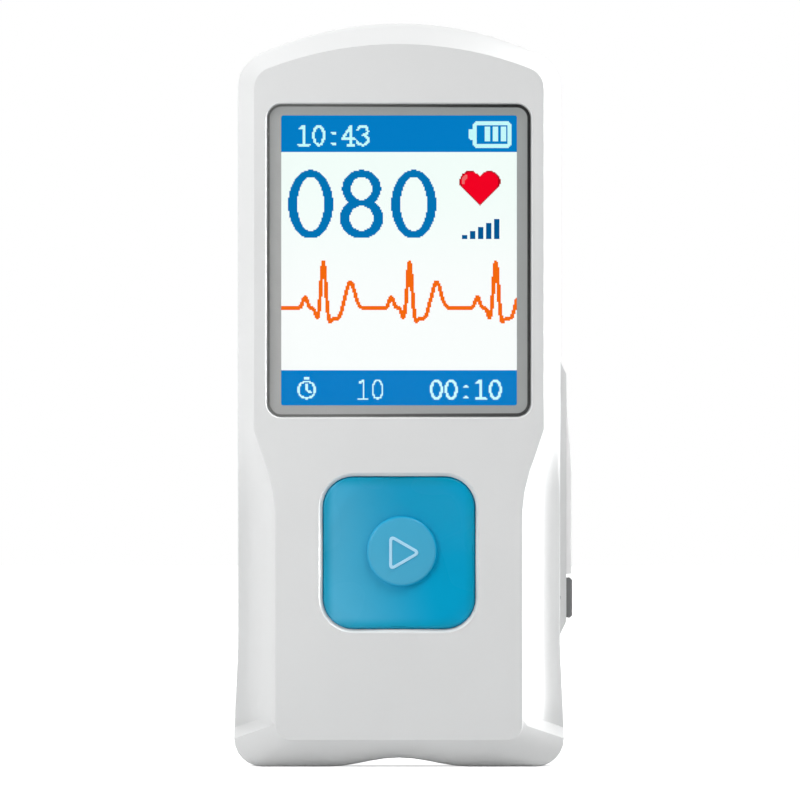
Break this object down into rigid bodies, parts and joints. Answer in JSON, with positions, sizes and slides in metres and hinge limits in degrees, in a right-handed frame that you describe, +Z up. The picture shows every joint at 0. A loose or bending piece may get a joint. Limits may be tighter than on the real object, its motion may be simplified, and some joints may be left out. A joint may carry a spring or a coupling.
{
  "type": "ecg home monitor",
  "caption": "Hand-held heart monitor with a colour screen, one large square blue key, a side rocker and bare metal contact plates, standing on its feet.",
  "frame": {"origin": "middle of the two feet, on the surface that the case stands on, under the case's centre line", "axes": "+Z up the case towards its arched top, +X to the right as the user sees the face, -Y out of the face"},
  "size_m": [0.0456, 0.0147, 0.1],
  "materials": {
    "case_plastic": "fine satin moulded ABS",
    "window": "clear hard-coated acrylic",
    "mask": "grey ink printed behind the window",
    "black_foam": "closed-cell foam",
    "display": "lit colour display panel",
    "diffuser": "light guide",
    "sheet_steel": "thin bright sheet",
    "clear_tape": "double-sided tape",
    "flex_film": "amber polyimide film",
    "cream_plastic": "moulded nylon",
    "key_blue": "tinted glossy acrylic",
    "key_mark": "pale printed outline",
    "black_plastic": "moulded black plastic",
    "grey_plastic": "dark grey satin plastic",
    "steel": "plated steel",
    "contact_steel": "bright stainless contact plate",
    "gold_bronze": "gold-plated spring bronze",
    "brass": "turned brass",
    "board_green": "solder-masked glass epoxy",
    "chip_ceramic": "chip resistors and capacitors",
    "cell_foil": "aluminium pouch foil",
    "red_wire": "silicone insulation",
    "black_wire": "silicone insulation"
  },
  "bodies": {
    "case": {"front_housing": "case_plastic", "back_housing": "case_plastic", "screen_lens": "window", "lens_mask": "mask", "lcd_gasket": "black_foam", "lcd_glass": "display", "lcd_backlight": "diffuser", "lcd_frame": "sheet_steel", "lcd_tape": "clear_tape", "lcd_flex": "flex_film", "flex_connector": "cream_plastic", "key_switch": "black_plastic", "rocker_pin": "steel", "rocker_switch": "cream_plastic", "side_electrode": "contact_steel", "side_contact": "gold_bronze", "upper_electrode": "contact_steel", "lower_electrode": "contact_steel", "electrode_nuts": "brass", "upper_contact": "gold_bronze", "lower_contact": "gold_bronze", "main_board": "board_green", "processor": "black_plastic", "amplifier_chip": "black_plastic", "shield_can": "sheet_steel", "memory_chip": "black_plastic", "crystal": "steel", "small_parts": "chip_ceramic", "buzzer": "black_plastic", "usb_shell": "sheet_steel", "usb_tongue": "black_plastic", "battery_cell": "cell_foil", "battery_foam": "black_foam", "battery_header": "cream_plastic", "battery_plug": "cream_plastic", "battery_lead_red": "red_wire", "battery_lead_black": "black_wire", "case_screws": "steel", "case_inserts": "brass", "board_screws": "steel"},
    "key": {"key_cap": "key_blue", "key_mark": "key_mark", "key_plunger": "cream_plastic"},
    "rocker": {"rocker_key": "grey_plastic"},
    "lever": {"rocker_lever": "black_plastic"}
  },
  "joints": [
    {"name": "key_press", "type": "slide", "parent": "case", "child": "key", "axis": [0, 1, 0], "range_m": [0, 0.00045], "stiffness_N_per_m": 150},
    {"name": "rocker_tilt", "type": "hinge", "parent": "case", "child": "rocker", "pos_m": [0.0213, 0.00143, 0.0227], "axis": [0, 1, 0], "range_deg": [-4, 4], "stiffness_Nm_per_rad": 0.00005},
    {"name": "lever_tilt", "type": "hinge", "parent": "case", "child": "lever", "pos_m": [0.0166, 0.00143, 0.0227], "axis": [0, 1, 0], "range_deg": [-3, 3], "stiffness_Nm_per_rad": 0.000005}
  ],
  "couplings": [
    {"joint": "lever_tilt", "follows": "rocker_tilt", "ratio": -0.7407}
  ]
}
